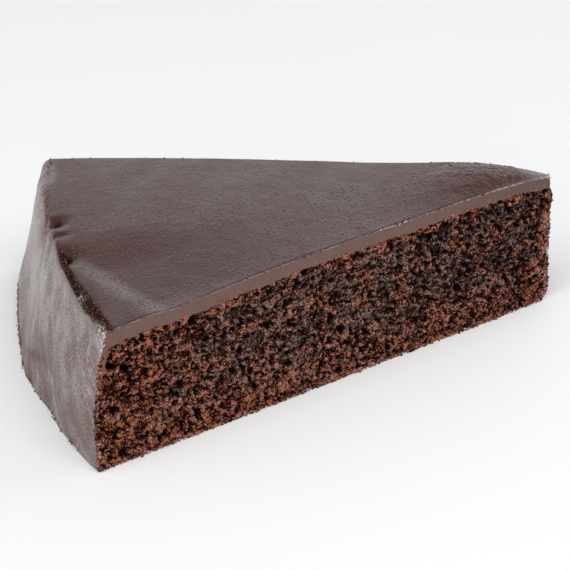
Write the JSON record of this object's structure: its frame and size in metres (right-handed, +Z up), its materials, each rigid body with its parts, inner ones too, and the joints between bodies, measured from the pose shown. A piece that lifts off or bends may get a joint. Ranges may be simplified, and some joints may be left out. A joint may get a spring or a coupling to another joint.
{
  "type": "slice of chocolate cake",
  "caption": "Wedge of dark chocolate cake cut from a round cake, one crumbly sponge layer under smooth ganache that covers the top and the outer wall.",
  "frame": {"origin": "centre of the slice's footprint, on the face it stands on", "axes": "+X from the outer wall to the tip, +Z up, the two knife cuts face -Y and +Y"},
  "size_m": [0.1248, 0.1016, 0.0338],
  "materials": {
    "sponge": "torn open crumb, matt",
    "ganache": "set poured chocolate, satin"
  },
  "bodies": {
    "root": {"sponge": "sponge", "ganache": "ganache"}
  },
  "joints": []
}
